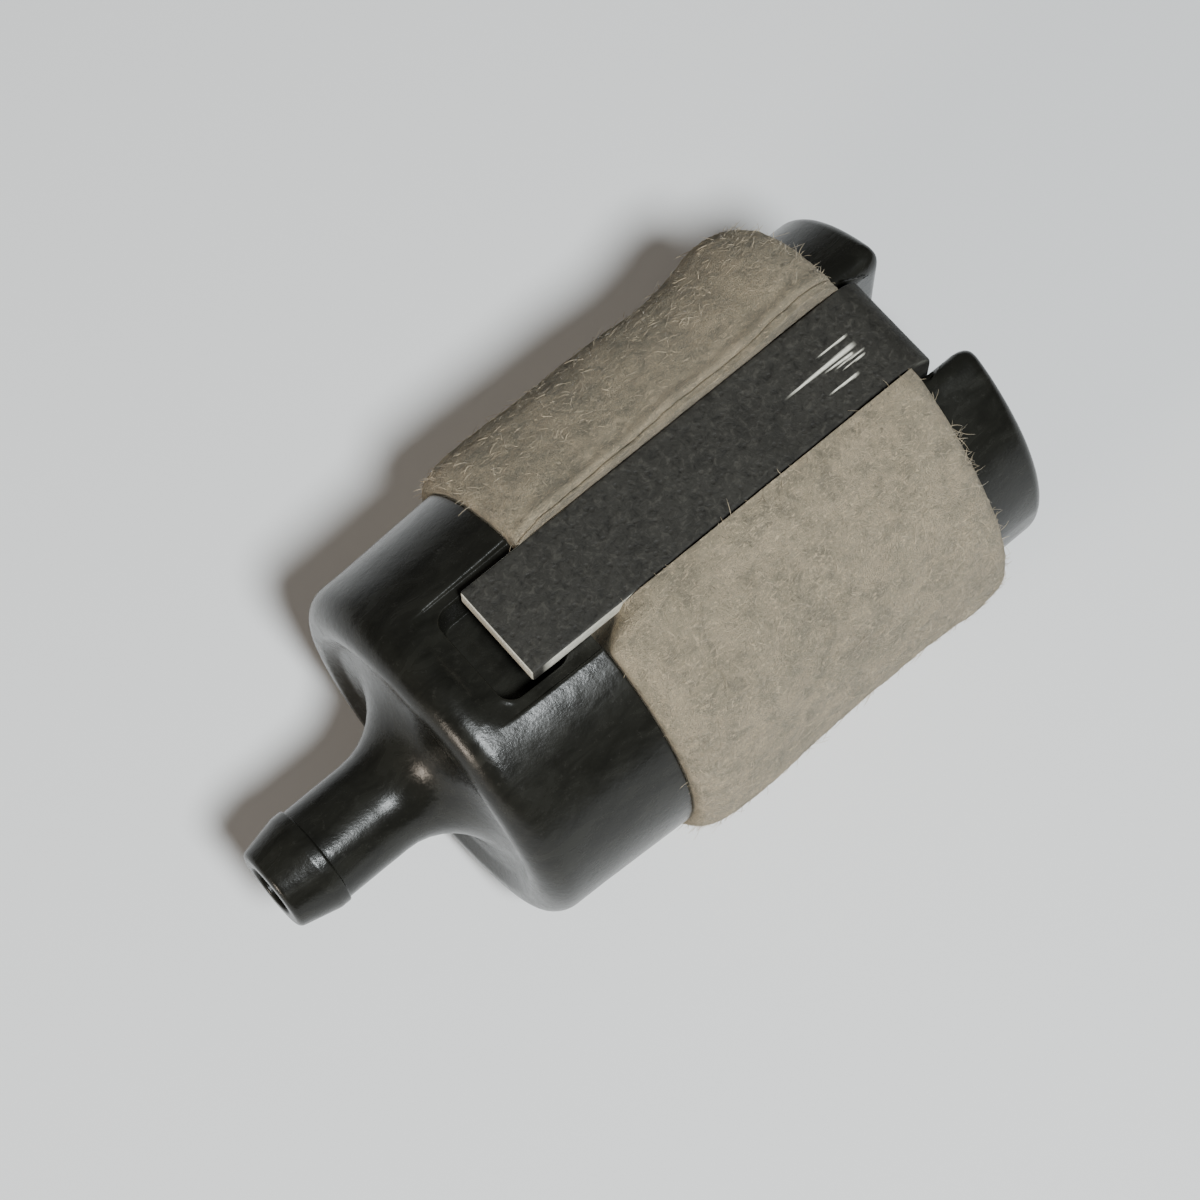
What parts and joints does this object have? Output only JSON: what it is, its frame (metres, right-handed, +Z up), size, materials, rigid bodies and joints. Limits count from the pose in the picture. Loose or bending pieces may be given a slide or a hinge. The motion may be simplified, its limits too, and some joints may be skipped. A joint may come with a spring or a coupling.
{
  "type": "fuel filter",
  "caption": "In-tank fuel pickup filter for a small engine: black head with barbed hose nipple, thick felt sleeve, steel weight strap and lobed end cap.",
  "frame": {"origin": "middle of the filter's length, on the surface it lies on", "axes": "+X along the filter from the hose nipple to the end cap, +Z up, square to the upper leg of the steel strap"},
  "size_m": [0.038, 0.0202, 0.0197],
  "materials": {
    "black_plastic": "moulded, slightly glossy",
    "natural_nylon": "moulded, satin",
    "nylon_mesh": "fine woven mesh",
    "felt": "thick pressed felt, fuzzy",
    "coated_steel": "dark grey coating, matte, with bare sheared edges"
  },
  "bodies": {
    "filter_head": {"head": "black_plastic", "cage_tube": "natural_nylon", "screen": "nylon_mesh"},
    "felt": {"felt_sleeve": "felt"},
    "cap": {"end_cap": "black_plastic"},
    "strap": {"weight_strap": "coated_steel"}
  },
  "joints": [
    {"name": "felt_slide", "type": "slide", "parent": "filter_head", "child": "felt", "axis": [1, 0, 0], "range_m": [0, 0.026]},
    {"name": "cap_slide", "type": "slide", "parent": "felt", "child": "cap", "axis": [1, 0, 0], "range_m": [0, 0.012]},
    {"name": "strap_slide", "type": "slide", "parent": "cap", "child": "strap", "axis": [1, 0, 0], "range_m": [0, 0.03]}
  ]
}
